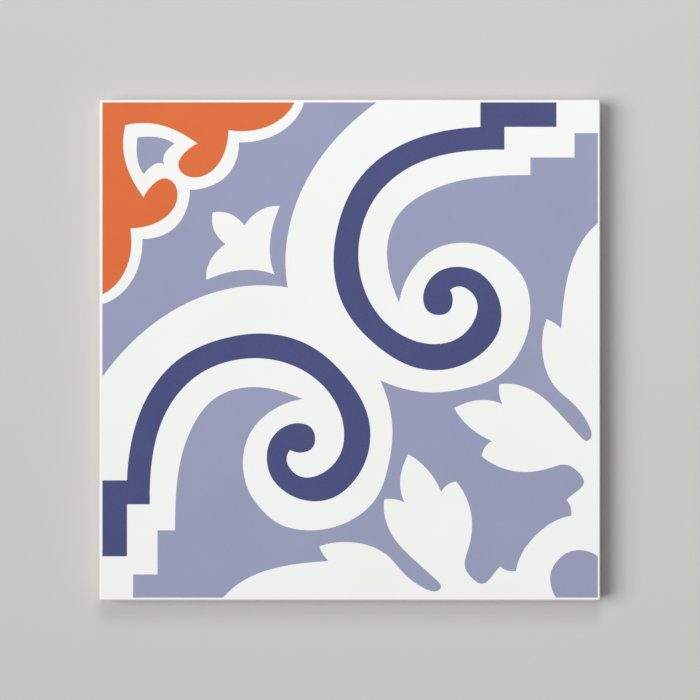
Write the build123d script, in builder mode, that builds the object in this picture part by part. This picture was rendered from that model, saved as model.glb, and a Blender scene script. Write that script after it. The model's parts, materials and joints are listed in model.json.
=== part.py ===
# Glazed ceramic floor tile, 200 x 200 mm, dry-pressed and fired as one piece.
# It lies face up: the ribs of its back stand on z = 0 and the glazed face looks along +Z.
# The origin is the middle of the back. The orange corner of the pattern is at -X +Y.

import os

from build123d import *

os.makedirs("parts", exist_ok=True)

# Slab, in millimetres
tile_side = 200.0
tile_thickness = 8.5  # from the ribs of the back to the white glaze
corner_radius = 0.8  # the four upright corners
arris_radius = 0.8  # eased edge round the glazed face
back_chamfer = 0.6  # relieved edge round the back

# Pressed grid of the back
pocket_pitch = 18.0
rib_width = 3.0  # between two pockets, at the back's surface
pocket_depth = 0.6
pocket_corner = 2.0  # cut across each corner of a pocket
pocket_draft = 20.0  # degrees, so that the tile leaves the press
least_rim = 11.0  # plain border between the grid and the tile's sides

# Screen-printed glazes, each as thick as its own screen lays it
print_margin = 1.3  # white glaze left round the print
lavender_lay = 0.08
orange_lay = 0.10
navy_lay = 0.12

pocket_side = pocket_pitch - rib_width
pockets_across = int((tile_side - 2 * least_rim + rib_width) // pocket_pitch)
print_side = tile_side - 2 * print_margin
print_step = print_side / 100
face_plane = Plane.XY.offset(tile_thickness)
diagonal = Plane(origin=(0, 0, 0), z_dir=(1, 1, 0))

# The print is drawn in hundredths of its side, across and down from its orange corner.
# It is mirrored about the diagonal through that corner, so most outlines are half ones.
# A field's outline is a chain of strokes, and each stroke starts where the last one ends:
# two points make a straight edge, and more make one smooth curve.
orange_half = [
    [(0, 0), (38.75, 0)],
    [(34.8, 4.1), (31.5, 5.4), (25.4, 5.55)],
    [
        (25.1, 8.3), (22, 13.85), (19, 15.1), (16.1, 14.2), (15.33, 12.6), (16, 10.85),
        (19.2, 8.3),
    ],
    [(17, 6.8), (11, 4.37), (8.2, 4.12), (4.57, 4.57)],
]

eye_half = [
    [(7.05, 7.05), (10.7, 6.97), (12.5, 7.33), (14.45, 8.3)],
    [(13.1, 9.5), (12.2, 11.5), (12.45, 12.45)],
]

inner_field_half = [
    [(17.65, 17.65), (21.5, 17), (25.1, 14.8), (27.25, 10.9), (27.55, 8.1)],
    [(30, 7.97), (35, 6.5), (39, 3.3), (40.75, 0)],
    [(55.3, 0)],
    [(49.3, 5), (42.9, 12.75), (38.8, 21.1), (37, 29.6), (37.35, 37.35)],
]

fleuron_half = [
    [(22.2, 22.2), (25.4, 22.35), (28.6, 24.8)],
    [(31.5, 21.95), (34.5, 20.9), (35.85, 20.95)],
    [(34.4, 25), (33.8, 30), (34.8, 34.8)],
]

outer_field_half = [
    [
        (56.15, 56.15), (60, 57.6), (66.5, 58.6), (73.5, 57.7), (80, 55.25), (84.5, 50),
        (86.45, 41.8), (84.7, 34.9), (82.2, 32.05), (79.3, 29.9), (73, 28.3), (67, 29.65),
        (62.2, 34.2), (59.9, 40.35),
    ],
    [(58.5, 36.7), (57.5, 30), (59.6, 22.95), (65.5, 18.15), (74, 15.45), (86.45, 14.65)],
    [(86.45, 11.12)],
    [(95.35, 11.12)],
    [(95.35, 6.2)],
    [(100, 6.2)],
    [(100, 24.35)],
    [(96.4, 28.7), (93.8, 35.8), (92.6, 45.6)],
    [(91.2, 44.45), (89.65, 43.75)],
    [
        (88.75, 49), (91.6, 57.7), (95, 60.8), (97.8, 64.4), (98.6, 66.2), (98.65, 67.6),
        (97.9, 68.32), (96.5, 67.45), (92.2, 62.7), (88.7, 59.35), (85, 57.35),
        (80.15, 56.88),
    ],
    [(80.2, 59.4), (80.7, 60.9)],
    [(77, 60.05), (73, 60.8), (71, 61.75)],
    [(72.5, 63.95), (76.5, 67.35), (78.6, 68.4)],
    [(77.55, 69.2), (76.55, 71.45)],
    [
        (81, 73.95), (84.5, 74.65), (91, 73.65), (93.2, 73.15), (96.3, 74.9), (97.2, 76.6),
        (95, 79.15), (93.65, 80.3),
    ],
    [(94.35, 81.3), (94.65, 83.45)],
]
outer_field_far_edge = [(94.65, 83.45), (91.5, 84.45), (87.45, 87.45)]

bud_half = [[(100, 100), (100, 91.65)]]
bud_edge = [(100, 91.65), (98.3, 90.78), (94.2, 90.82), (92.2, 92.2)]

scroll = [
    [(76.35, 0), (91.65, 0)],
    [(91.65, 4.9)],
    [(81.15, 4.9)],
    [(81.15, 9.5)],
    [
        (71.5, 10.05), (62.5, 12.8), (55.2, 19), (51.8, 28), (53.1, 38.45), (58, 45.3),
        (65, 48.65), (71, 48.05), (74.9, 44.4), (75.5, 39.8), (72.2, 37.15), (70.15, 37.9),
    ],
    [
        (70.7, 40), (69.8, 42.3), (67.8, 42.9), (65.6, 42), (64.8, 39.8), (65.95, 36),
        (68.3, 33.95), (71.7, 33.2), (75.75, 34.2), (78.4, 36.6), (80.4, 41.2), (79.95, 46.2), (76.2, 50.95),
        (70, 53.8), (63.7, 53.65), (55.4, 49.1), (48.95, 41.5), (46.7, 33), (47.5, 25.2),
        (51.5, 15.9), (55, 12.1), (59, 9.3), (67, 6.2), (76.35, 4.95),
    ],
    [(76.35, 0)],
]


def on_face(point):
    """A point of the drawing, in millimetres on the tile's face."""
    across, down = point
    return (across * print_step - print_side / 2, print_side / 2 - down * print_step)


def draw(strokes):
    """Draw a chain of strokes on the line that is being built."""
    pen = []
    for stroke in strokes:
        points = [on_face(point) for point in pen + stroke]
        if len(points) == 2:
            Line(*points)
        else:
            Spline(*points)
        pen = stroke[-1:]


def across_diagonal(stroke):
    """A stroke that ends on the diagonal, carried on smoothly to its mirror image."""
    return stroke + [(down, across) for across, down in reversed(stroke[:-1])]


with BuildPart() as floor_tile:
    # Pressed slab
    with BuildSketch(Plane.XY):
        RectangleRounded(tile_side, tile_side, corner_radius)
    extrude(amount=tile_thickness)
    face_rim = floor_tile.faces().sort_by(Axis.Z)[-1].edges()
    back_rim = floor_tile.faces().sort_by(Axis.Z)[0].edges()
    fillet(face_rim, radius=arris_radius)
    chamfer(back_rim, length=back_chamfer)

    # Shallow pockets of the back, which leave a grid of ribs for the adhesive
    with BuildSketch(Plane.XY) as pockets:
        with GridLocations(pocket_pitch, pocket_pitch, pockets_across, pockets_across):
            Rectangle(pocket_side, pocket_side)
        chamfer(pockets.vertices(), length=pocket_corner)
    extrude(amount=pocket_depth, taper=pocket_draft, mode=Mode.SUBTRACT)

    # Lavender glaze: the two large fields, the eye in the orange and the bud at the far corner
    with BuildSketch(face_plane):
        with BuildLine():
            draw(inner_field_half)
            mirror(about=diagonal)
        make_face()
        with BuildLine():
            draw(fleuron_half)
            mirror(about=diagonal)
        make_face(mode=Mode.SUBTRACT)
        with BuildLine():
            draw(eye_half)
            mirror(about=diagonal)
        make_face()
        with BuildLine():
            draw(outer_field_half)
            mirror(about=diagonal)
            draw([across_diagonal(outer_field_far_edge)])
        make_face()
        with BuildLine():
            draw(bud_half)
            mirror(about=diagonal)
            draw([across_diagonal(bud_edge)])
        make_face()
    extrude(amount=lavender_lay)

    # Orange glaze
    with BuildSketch(face_plane):
        with BuildLine():
            draw(orange_half)
            mirror(about=diagonal)
        make_face()
    extrude(amount=orange_lay)

    # Navy glaze: one scroll and its mirror image
    with BuildSketch(face_plane):
        with BuildLine():
            draw(scroll)
        make_face()
        mirror(about=diagonal)
    extrude(amount=navy_lay)

floor_tile.part.label = "floor_tile"
export_step(floor_tile.part, "parts/floor_tile.step")
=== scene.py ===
import json

import bpy
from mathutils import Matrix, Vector

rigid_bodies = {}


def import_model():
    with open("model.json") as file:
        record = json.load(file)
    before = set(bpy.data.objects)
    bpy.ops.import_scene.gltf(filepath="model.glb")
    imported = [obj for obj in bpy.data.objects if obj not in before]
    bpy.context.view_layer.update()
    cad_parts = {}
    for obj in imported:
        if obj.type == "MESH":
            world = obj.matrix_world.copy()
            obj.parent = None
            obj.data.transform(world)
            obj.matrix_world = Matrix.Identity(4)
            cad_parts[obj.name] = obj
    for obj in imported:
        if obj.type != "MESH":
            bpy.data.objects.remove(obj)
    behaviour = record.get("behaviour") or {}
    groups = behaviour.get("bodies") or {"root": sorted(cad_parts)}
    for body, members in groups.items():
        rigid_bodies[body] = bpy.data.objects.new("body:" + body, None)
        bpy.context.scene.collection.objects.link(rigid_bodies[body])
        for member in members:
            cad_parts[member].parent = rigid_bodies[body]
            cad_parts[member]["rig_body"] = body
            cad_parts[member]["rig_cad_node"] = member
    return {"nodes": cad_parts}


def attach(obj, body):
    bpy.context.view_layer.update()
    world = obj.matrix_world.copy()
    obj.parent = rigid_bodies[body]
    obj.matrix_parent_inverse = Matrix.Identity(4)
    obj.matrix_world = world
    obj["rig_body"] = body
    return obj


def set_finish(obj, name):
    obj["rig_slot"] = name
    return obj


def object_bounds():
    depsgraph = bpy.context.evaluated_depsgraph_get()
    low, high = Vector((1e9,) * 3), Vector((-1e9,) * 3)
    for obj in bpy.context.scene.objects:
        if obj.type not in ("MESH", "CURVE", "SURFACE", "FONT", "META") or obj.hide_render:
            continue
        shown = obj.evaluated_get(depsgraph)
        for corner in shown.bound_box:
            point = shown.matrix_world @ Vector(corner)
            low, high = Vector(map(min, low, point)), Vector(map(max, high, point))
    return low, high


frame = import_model()
cadLow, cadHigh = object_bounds()

mm = 0.001
navyLay = 0.12 * mm  # how far the highest field of the print stands above the white glaze
faceHeight = cadHigh.z - navyLay


def deselectAll():
    if bpy.context.mode != "OBJECT":
        bpy.ops.object.mode_set(mode="OBJECT")
    bpy.ops.object.select_all(action="DESELECT")


def pick(piece):
    deselectAll()
    piece.select_set(True)
    bpy.context.view_layer.objects.active = piece


# short ways to place and join shader nodes
def addNode(tree, kind, place, **settings):
    node = tree.nodes.new(kind)
    node.location = place
    for key, value in settings.items():
        setattr(node, key, value)
    return node


def plug(tree, value, socket):
    if isinstance(value, (int, float)):
        socket.default_value = value
    elif isinstance(value, tuple):
        socket.default_value = (*value, 1.0) if socket.type == "RGBA" else value
    else:
        tree.links.new(value, socket)


def addNoise(tree, place, vector, scale, detail=3.0, roughness=0.5, distortion=0.0):
    node = addNode(tree, "ShaderNodeTexNoise", place)
    plug(tree, vector, node.inputs["Vector"])
    plug(tree, scale, node.inputs["Scale"])
    plug(tree, detail, node.inputs["Detail"])
    plug(tree, roughness, node.inputs["Roughness"])
    plug(tree, distortion, node.inputs["Distortion"])
    return node.outputs["Fac"]


def addMath(tree, operation, place, first, second):
    node = addNode(tree, "ShaderNodeMath", place, operation=operation)
    plug(tree, first, node.inputs[0])
    plug(tree, second, node.inputs[1])
    return node.outputs["Value"]


# spreads a value from one range over another
def addRange(tree, place, value, fromLow, fromHigh, toLow=0.0, toHigh=1.0, shape="LINEAR"):
    node = addNode(tree, "ShaderNodeMapRange", place, interpolation_type=shape)
    plug(tree, value, node.inputs["Value"])
    plug(tree, fromLow, node.inputs["From Min"])
    plug(tree, fromHigh, node.inputs["From Max"])
    plug(tree, toLow, node.inputs["To Min"])
    plug(tree, toHigh, node.inputs["To Max"])
    return node.outputs["Result"]


def addMix(tree, place, factor, first, second):
    node = addNode(tree, "ShaderNodeMix", place, data_type="RGBA")
    plug(tree, factor, node.inputs["Factor"])
    plug(tree, first, node.inputs["A"])
    plug(tree, second, node.inputs["B"])
    return node.outputs["Result"]


def addBump(tree, place, height, strength, distance):
    node = addNode(tree, "ShaderNodeBump", place)
    plug(tree, height, node.inputs["Height"])
    plug(tree, strength, node.inputs["Strength"])
    plug(tree, distance, node.inputs["Distance"])
    return node.outputs["Normal"]


# rare specks, each with its own size and, where the ruffle isn't 0, an uneven rim
def addSpecks(tree, left, vector, scale, rarity, radius, ruffle=0.0, ruffleScale=900.0):
    rim = addNode(tree, "ShaderNodeTexNoise", (left - 440, -600))
    plug(tree, vector, rim.inputs["Vector"])
    plug(tree, ruffleScale, rim.inputs["Scale"])
    shifted = addNode(tree, "ShaderNodeVectorMath", (left - 220, -600), operation="MULTIPLY_ADD")
    plug(tree, rim.outputs["Color"], shifted.inputs[0])
    plug(tree, (ruffle, ruffle, ruffle), shifted.inputs[1])
    plug(tree, vector, shifted.inputs[2])
    cells = addNode(tree, "ShaderNodeTexVoronoi", (left, -600))
    plug(tree, shifted.outputs["Vector"], cells.inputs["Vector"])
    plug(tree, scale, cells.inputs["Scale"])
    chance = addNode(tree, "ShaderNodeSeparateColor", (left + 220, -500))
    plug(tree, cells.outputs["Color"], chance.inputs["Color"])
    chosen = addMath(tree, "GREATER_THAN", (left + 440, -420), chance.outputs["Red"], rarity)

    least = 0.3 * radius
    size = addRange(tree, (left + 440, -620), chance.outputs["Green"], 0.0, 1.0, least, radius)
    core = addMath(tree, "MULTIPLY", (left + 660, -700), size, 0.5)
    away = cells.outputs["Distance"]
    speck = addRange(tree, (left + 880, -600), away, core, size, 1.0, 0.0, "SMOOTHSTEP")
    return addMath(tree, "MULTIPLY", (left + 1100, -500), chosen, speck)


def newGroup(name, inputs, outputs):
    group = bpy.data.node_groups.new(name, "ShaderNodeTree")
    group.interface.new_socket("Vector", in_out="INPUT", socket_type="NodeSocketVector")
    for label, value in inputs.items():
        socket = group.interface.new_socket(label, in_out="INPUT", socket_type="NodeSocketFloat")
        socket.default_value = value
    for label in outputs:
        group.interface.new_socket(label, in_out="OUTPUT", socket_type="NodeSocketFloat")
    groupIn = group.nodes.new("NodeGroupInput")
    groupOut = group.nodes.new("NodeGroupOutput")
    groupIn.location = (-900, 0)
    groupOut.location = (500, 0)
    return group, groupIn.outputs, groupOut.inputs


def addGroup(tree, group, place, vector, values):
    node = addNode(tree, "ShaderNodeGroup", place, node_tree=group)
    plug(tree, vector, node.inputs["Vector"])
    for label, value in values.items():
        plug(tree, value, node.inputs[label])
    return node.outputs


def newMaterial(name):
    material = bpy.data.materials.new(name)
    material.use_nodes = True
    tree = material.node_tree
    shader = tree.nodes["Principled BSDF"]
    shader.location = (900, 0)
    tree.nodes["Material Output"].location = (1200, 0)
    return material, tree, shader.inputs


def addCoords(tree):
    return addNode(tree, "ShaderNodeTexCoord", (-1300, 0)).outputs["Object"]


print("stage: shader groups")

# noise values lie mostly between 0.3 and 0.7, so a range from there brings out their contrast
glazeGrain = {
    "sheenScale": 38.0,
    "waveScale": 85.0,
    "waveShare": 0.65,  # slow waves in the relief
    "peelShare": 0.35,  # fine orange peel in it
    "holeScale": 120.0,
    "holeRarity": 0.93,  # the share of cells that have no pinhole
    "holeRadius": 0.032,  # in cells
}

clayGrit = {
    "patchScale": 26.0,
    "coarseScale": 330.0,
    "speckRarity": 0.72,
    "speckRadius": 0.26,
    "speckRuffle": 0.0012,
}


# fired glaze: soft clouds of tone, faint orange peel, rare pinholes, a sheen that is not quite even
def makeGlazeSkin(look):
    sizes = {"Cloud Size": 22.0, "Peel Size": 900.0, "Pinholes": 0.5}
    tree, given, out = newGroup("glazeSkin", sizes, ("Cloud", "Height", "Pinhole", "Sheen"))
    vector = given["Vector"]
    cloud = addNoise(tree, (-600, 300), vector, given["Cloud Size"], detail=4.0, roughness=0.55)
    cloudTone = addRange(tree, (-380, 300), cloud, 0.32, 0.68, shape="SMOOTHSTEP")
    plug(tree, cloudTone, out["Cloud"])
    sheen = addNoise(
        tree, (-600, 560), vector, look["sheenScale"], detail=5.0, roughness=0.6, distortion=0.4
    )
    plug(tree, addRange(tree, (-380, 560), sheen, 0.25, 0.75), out["Sheen"])

    hole = addSpecks(
        tree, -1500, vector, look["holeScale"], look["holeRarity"], look["holeRadius"]
    )
    pinhole = addMath(tree, "MULTIPLY", (60, -400), hole, given["Pinholes"])
    plug(tree, pinhole, out["Pinhole"])

    peel = addNoise(tree, (-600, 40), vector, given["Peel Size"], detail=2.0, roughness=0.45)
    wave = addNoise(tree, (-600, -180), vector, look["waveScale"], detail=2.0, roughness=0.4)
    peelPart = addMath(tree, "MULTIPLY", (-380, 40), peel, look["peelShare"])
    wavePart = addMath(tree, "MULTIPLY", (-380, -140), wave, look["waveShare"])
    relief = addMath(tree, "ADD", (-160, -40), peelPart, wavePart)
    plug(tree, addMath(tree, "SUBTRACT", (280, -120), relief, pinhole), out["Height"])
    return tree


# pressed and fired clay: soft colour patches, pale and dark grains, sparse iron specks
def makeClayGrain(look):
    sizes = {"Grain Size": 1500.0, "Speck Size": 420.0}
    tree, given, out = newGroup("clayGrain", sizes, ("Patches", "Grains", "Specks", "Height"))
    vector = given["Vector"]
    patches = addNoise(tree, (-600, 300), vector, look["patchScale"], detail=6.0, roughness=0.62)
    plug(tree, addRange(tree, (-380, 300), patches, 0.3, 0.7), out["Patches"])
    specks = addSpecks(
        tree, -1500, vector, given["Speck Size"],
        look["speckRarity"], look["speckRadius"], look["speckRuffle"],
    )
    plug(tree, specks, out["Specks"])

    grain = addNoise(tree, (-600, 60), vector, given["Grain Size"], detail=4.0, roughness=0.7)
    plug(tree, addRange(tree, (-380, 120), grain, 0.35, 0.65), out["Grains"])
    coarse = addNoise(tree, (-600, -160), vector, look["coarseScale"], detail=5.0, roughness=0.65)
    both = addMath(tree, "ADD", (-380, -60), grain, coarse)
    relief = addMath(tree, "MULTIPLY", (-160, -60), both, 0.5)
    plug(tree, addMath(tree, "SUBTRACT", (60, -160), relief, specks), out["Height"])
    return tree


glazeSkin = makeGlazeSkin(glazeGrain)
clayGrain = makeClayGrain(clayGrit)


print("stage: white tile")

# the white tile under the print: glazed face and edges, bare clay on the sides and the back
whiteTile = {
    "ior": 1.5,
    "glazeColour": (0.886, 0.897, 0.877),
    "glazeWarm": (0.872, 0.881, 0.851),
    "glazeRoughness": 0.42,
    "glazeThinAndShade": (0.700, 0.678, 0.625),  # on the rounded edge, where the clay shows through, and darkened further there as painted shade
    "edgeTop": 0.0,  # how far below the face the glaze starts thinning and the painted edge shade starts
    "edgeBottom": 0.15 * mm,  # and how far below it the glaze is at its thinnest and the painted shade at its darkest
    "glazeEnd": 1.6 * mm,  # how far the glaze runs down the sides
    "glazeRun": 0.5 * mm,  # how uneven that line is
    "glazeBlur": 0.12 * mm,  # how softly the glaze ends there
    "runScale": 160.0,
    "clayPale": (0.72, 0.675, 0.60),
    "clayColour": (0.64, 0.585, 0.50),
    "clayDark": (0.55, 0.49, 0.405),
    "speckColour": (0.30, 0.235, 0.18),
    "clayRoughness": 0.86,
    "kilnWash": (0.78, 0.76, 0.72),
    "washScale": 60.0,
    "washMost": 0.85,
    "washFull": 0.05 * mm,  # the wash is whole up to this height
    "washGone": 0.35 * mm,  # and gone from this one up, so the pockets have none
    "glazeRelief": 0.03,
    "clayRelief": 0.8,
    "bumpStrength": 0.8,
    "bumpDepth": 0.2 * mm,
    "skin": {"Cloud Size": 22.0, "Peel Size": 900.0, "Pinholes": 0.5},
    "clay": {"Grain Size": 1500.0, "Speck Size": 420.0},
}


def makeTileMaterial(look):
    material, tree, shader = newMaterial("whiteGlazeOnClay")
    vector = addCoords(tree)
    plug(tree, look["ior"], shader["IOR"])
    skin = addGroup(tree, glazeSkin, (-1000, 420), vector, look["skin"])
    clay = addGroup(tree, clayGrain, (-1000, 60), vector, look["clay"])
    split = addNode(tree, "ShaderNodeSeparateXYZ", (-1000, -260))
    plug(tree, vector, split.inputs["Vector"])
    height = split.outputs["Z"]

    # the glaze stops on the sides in an uneven line
    runNoise = addNoise(tree, (-1000, -420), vector, look["runScale"], detail=3.0, roughness=0.6)
    run = addRange(tree, (-800, -420), runNoise, 0.3, 0.7, -look["glazeRun"], look["glazeRun"])
    level = addMath(tree, "ADD", (-600, -320), height, run)
    lineHeight = faceHeight - look["glazeEnd"]
    lineLow, lineHigh = lineHeight - look["glazeBlur"], lineHeight + look["glazeBlur"]
    glazed = addRange(tree, (-400, -320), level, lineLow, lineHigh, shape="SMOOTHSTEP")

    # it is thinner on the rounded edge, and darker there also as painted shade that keeps the lit
    # edge from glaring white
    edgeLow, edgeHigh = faceHeight - look["edgeBottom"], faceHeight - look["edgeTop"]
    thinGlazeAndShade = addRange(tree, (-600, 760), height, edgeLow, edgeHigh, 1.0, 0.0)
    glazeTone = addMix(tree, (-600, 480), skin["Cloud"], look["glazeColour"], look["glazeWarm"])
    edgeToneAndShade = addMix(tree, (-400, 560), thinGlazeAndShade, glazeTone, look["glazeThinAndShade"])
    glaze = addMix(tree, (-200, 480), skin["Pinhole"], edgeToneAndShade, look["clayDark"])

    paleClay = addMix(tree, (-600, 160), clay["Grains"], look["clayColour"], look["clayPale"])
    darkClay = addMix(tree, (-600, 0), clay["Grains"], look["clayDark"], look["clayColour"])
    clayTone = addMix(tree, (-400, 100), clay["Patches"], paleClay, darkClay)
    specked = addMix(tree, (-200, 0), clay["Specks"], clayTone, look["speckColour"])

    # pale kiln wash, wiped over the ribs of the back
    washNoise = addNoise(
        tree, (-1000, -640), vector, look["washScale"], detail=5.0, roughness=0.7, distortion=0.6
    )
    washed = addRange(tree, (-800, -640), washNoise, 0.44, 0.62, 0.0, look["washMost"])
    onRibs = addRange(tree, (-800, -860), height, look["washFull"], look["washGone"], 1.0, 0.0)
    wash = addMath(tree, "MULTIPLY", (-600, -700), washed, onRibs)
    bare = addMix(tree, (0, 100), wash, specked, look["kilnWash"])
    plug(tree, addMix(tree, (240, 300), glazed, bare, glaze), shader["Base Color"])

    glazeRough, clayRough = look["glazeRoughness"], look["clayRoughness"]
    sheen, patches = skin["Sheen"], clay["Patches"]
    smooth = addRange(tree, (-600, 960), sheen, 0.0, 1.0, glazeRough - 0.03, glazeRough + 0.04)
    dull = addRange(tree, (-600, -60), patches, 0.0, 1.0, clayRough - 0.05, clayRough + 0.06)
    plug(tree, addRange(tree, (60, 60), glazed, 0.0, 1.0, dull, smooth), shader["Roughness"])

    glazeHeight = addMath(tree, "MULTIPLY", (-200, -160), skin["Height"], look["glazeRelief"])
    clayHeight = addMath(tree, "MULTIPLY", (-200, -320), clay["Height"], look["clayRelief"])
    relief = addRange(tree, (60, -200), glazed, 0.0, 1.0, clayHeight, glazeHeight)
    bump = addBump(tree, (440, -160), relief, look["bumpStrength"], look["bumpDepth"])
    plug(tree, bump, shader["Normal"])
    return material


tile = frame["nodes"]["floor_tile"]
tile.data.materials.clear()
tile.data.materials.append(makeTileMaterial(whiteTile))
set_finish(tile, "glazed_ceramic")


print("stage: printed glazes")

# the three screen-printed glazes, each a coat on the field that the tile raises for it
printedGlaze = {
    "lavender": {
        "belowTop": 0.04 * mm,  # its field, measured from the tile's highest field
        "colour": (0.303, 0.320, 0.469),
        "deep": (0.290, 0.307, 0.453),
        "roughness": 0.44,
        "screenDots": 2600.0,
        "skin": {"Cloud Size": 26.0, "Peel Size": 950.0, "Pinholes": 0.35},
    },
    "orange": {
        "belowTop": 0.02 * mm,
        "colour": (0.704, 0.144, 0.033),
        "deep": (0.683, 0.135, 0.030),
        "roughness": 0.41,
        "screenDots": 2300.0,
        "skin": {"Cloud Size": 34.0, "Peel Size": 820.0, "Pinholes": 0.25},
    },
    "navy": {
        "belowTop": 0.0,
        "colour": (0.051, 0.061, 0.184),
        "deep": (0.047, 0.057, 0.174),
        "roughness": 0.41,
        "screenDots": 2100.0,
        "skin": {"Cloud Size": 30.0, "Peel Size": 780.0, "Pinholes": 0.2},
    },
}

# what the three have in common
printCoat = {
    "depth": 0.02 * mm,
    "sameLevel": 0.004 * mm,  # heights closer than this are one height
    "weld": 0.001 * mm,
    "ior": 1.5,
    "whiteShown": 0.02,  # how much white shows between the dots of the screen, at most
    "bumpStrength": 0.12,
    "bumpDepth": 0.1 * mm,
}


def makePrintMaterial(name, look):
    material, tree, shader = newMaterial(name + "PrintedGlaze")
    vector = addCoords(tree)
    plug(tree, printCoat["ior"], shader["IOR"])
    skin = addGroup(tree, glazeSkin, (-1000, 300), vector, look["skin"])
    tone = addMix(tree, (-600, 360), skin["Cloud"], look["colour"], look["deep"])
    screen = addNoise(tree, (-1000, -60), vector, look["screenDots"], detail=1.0)
    bareDots = addRange(tree, (-600, -60), screen, 0.35, 0.65, 0.0, printCoat["whiteShown"])
    dotted = addMix(tree, (-300, 300), bareDots, tone, whiteTile["glazeColour"])
    plug(tree, dotted, shader["Base Color"])
    low, high = look["roughness"] - 0.03, look["roughness"] + 0.05
    plug(tree, addRange(tree, (-300, 60), skin["Sheen"], 0.0, 1.0, low, high), shader["Roughness"])
    strength, depth = printCoat["bumpStrength"], printCoat["bumpDepth"]
    plug(tree, addBump(tree, (300, -200), skin["Height"], strength, depth), shader["Normal"])
    return material


def selectFaces(piece, wanted):
    bpy.ops.mesh.select_all(action="DESELECT")
    bpy.ops.object.mode_set(mode="OBJECT")
    corners = piece.data.vertices
    for face in piece.data.polygons:
        heights = [corners[index].co.z for index in face.vertices]
        face.select = wanted(min(heights), max(heights))
    bpy.ops.object.mode_set(mode="EDIT")


# a print coat is the top and the walls of the tile's raised field, lifted off as thin solid sheets
def makePrintCoat(name, look):
    fieldHeight = cadHigh.z - look["belowTop"]
    sameLevel = printCoat["sameLevel"]

    def isSunken(low, high):
        return high < faceHeight + sameLevel

    def isTop(low, high):
        return max(abs(low - fieldHeight), abs(high - fieldHeight)) < sameLevel

    pick(tile)
    bpy.ops.object.duplicate()
    coat = bpy.context.active_object
    coat.name = name + "Print"
    coat.data.name = name + "Print"
    coat.parent = None
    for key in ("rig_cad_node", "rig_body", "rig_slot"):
        if key in coat:
            del coat[key]
    bpy.ops.object.mode_set(mode="EDIT")
    bpy.ops.mesh.select_mode(type="FACE")
    bpy.ops.mesh.select_all(action="SELECT")
    bpy.ops.mesh.remove_doubles(threshold=printCoat["weld"])
    bpy.ops.mesh.customdata_custom_splitnormals_clear()
    selectFaces(coat, isSunken)
    bpy.ops.mesh.delete(type="FACE")
    selectFaces(coat, isTop)
    bpy.ops.mesh.select_linked()
    bpy.ops.mesh.select_all(action="INVERT")
    bpy.ops.mesh.delete(type="FACE")
    selectFaces(coat, isTop)
    bpy.ops.mesh.split()  # so that the top thickens straight up and the walls straight outwards
    bpy.ops.object.mode_set(mode="OBJECT")
    shell = coat.modifiers.new("coat", "SOLIDIFY")
    shell.thickness = printCoat["depth"]
    shell.offset = 1.0
    bpy.ops.object.modifier_apply(modifier=shell.name)
    bpy.ops.object.shade_flat()
    coat.data.materials.clear()
    coat.data.materials.append(makePrintMaterial(name, look))
    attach(coat, "root")
    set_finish(coat, name + "_glaze")
    return coat


for name, look in printedGlaze.items():
    coat = makePrintCoat(name, look)
    print("  ", coat.name, len(coat.data.polygons), "faces")


print("stage: floor, light and camera")

studio = {
    "floorSize": 30.0,
    "floorColour": (0.57, 0.57, 0.565),  # plain pale floor
    "floorRoughness": 0.9,
    "floorShine": 0.1,
    "floorDrop": 0.05 * mm,  # keeps the floor clear of the tile's back
    "skyColour": (1.0, 1.0, 1.0),
    "skyLight": 0.17,
    "skyShown": 0.50,  # what the camera and the glazes see beyond the floor
    "keyStrength": 2.99,
    "keyFrom": (-1.0, 0.0, 0.95),  # from the left, so the soft shadow falls to the right
    "keySpread": 0.72,
    "fillEnergy": 3.4,
    "fillSize": 0.5,
    "fillPlace": (0.0, 0.76, 0.76),  # from the far side, so the near edge is a little dimmer
    "lens": 100.0,
    "viewWidth": 0.2791,  # metres across the picture at the tile's face
    "viewNear": 0.01,
    "viewFar": 50.0,
}


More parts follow.
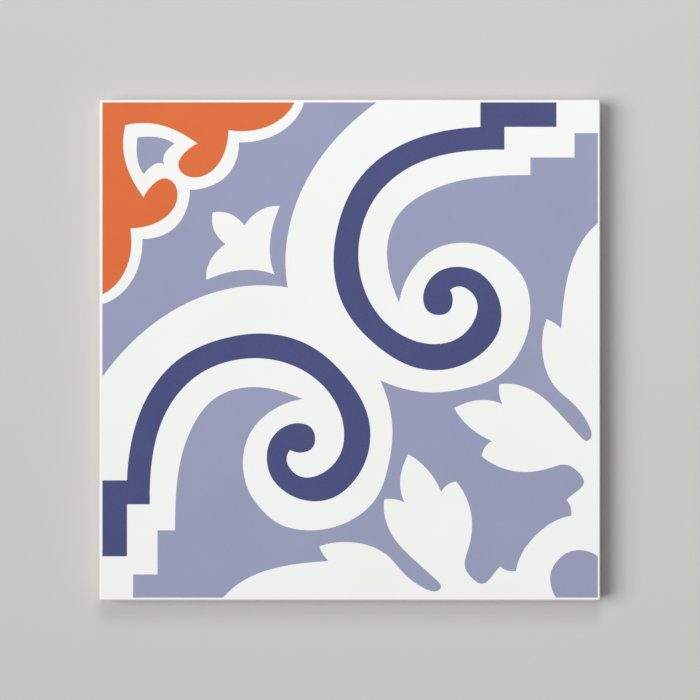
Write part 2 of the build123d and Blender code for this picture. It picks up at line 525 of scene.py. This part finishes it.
def makeFloor(look):
    deselectAll()
    floorHeight = cadLow.z - look["floorDrop"]
    bpy.ops.mesh.primitive_plane_add(size=look["floorSize"], location=(0, 0, floorHeight))
    floor = bpy.context.active_object
    floor.name = "studioFloor"
    material, tree, shader = newMaterial("paleFloor")
    plug(tree, look["floorColour"], shader["Base Color"])
    plug(tree, look["floorRoughness"], shader["Roughness"])
    plug(tree, look["floorShine"], shader["Specular IOR Level"])
    floor.data.materials.append(material)


def makeLamp(name, kind, place):
    lamp = bpy.data.objects.new(name, bpy.data.lights.new(name, kind))
    bpy.context.scene.collection.objects.link(lamp)
    lamp.location = place
    lamp.rotation_euler = Vector(place).to_track_quat("Z", "Y").to_euler()
    return lamp


def makeLamps(look):
    key = makeLamp("keyLight", "SUN", look["keyFrom"])
    key.data.energy = look["keyStrength"]
    key.data.angle = look["keySpread"]
    key.visible_glossy = False  # so that the glaze has no glare of it from any side
    fill = makeLamp("fillLight", "AREA", look["fillPlace"])
    fill.data.energy = look["fillEnergy"]
    fill.data.shape = "DISK"
    fill.data.size = look["fillSize"]


# an even pale sky: dimmer as a light than it looks behind the tile and in its glaze
def makeSky(look):
    world = bpy.data.worlds.new("studioSky")
    bpy.context.scene.world = world
    world.use_nodes = True
    tree = world.node_tree
    background = tree.nodes["Background"].inputs
    plug(tree, look["skyColour"], background["Color"])
    rays = addNode(tree, "ShaderNodeLightPath", (-900, 0)).outputs
    direct = addMath(tree, "ADD", (-700, 0), rays["Is Camera Ray"], rays["Is Glossy Ray"])
    shown = addMath(tree, "ADD", (-500, 0), direct, rays["Is Transmission Ray"])
    strength = addRange(tree, (-300, 0), shown, 0.0, 1.0, look["skyLight"], look["skyShown"])
    plug(tree, strength, background["Strength"])


def makeCamera(look):
    camera = bpy.data.objects.new("viewCamera", bpy.data.cameras.new("viewCamera"))
    bpy.context.scene.collection.objects.link(camera)
    camera.data.type = "PERSP"
    camera.data.lens = look["lens"]
    camera.data.clip_start = look["viewNear"]
    camera.data.clip_end = look["viewFar"]
    distance = look["viewWidth"] * look["lens"] / camera.data.sensor_width
    camera.location = (0.0, 0.0, cadHigh.z + distance)  # straight down, with +Y up in the picture
    bpy.context.scene.camera = camera


makeFloor(studio)
makeLamps(studio)
makeSky(studio)
makeCamera(studio)
bpy.context.scene.view_settings.view_transform = "Standard"
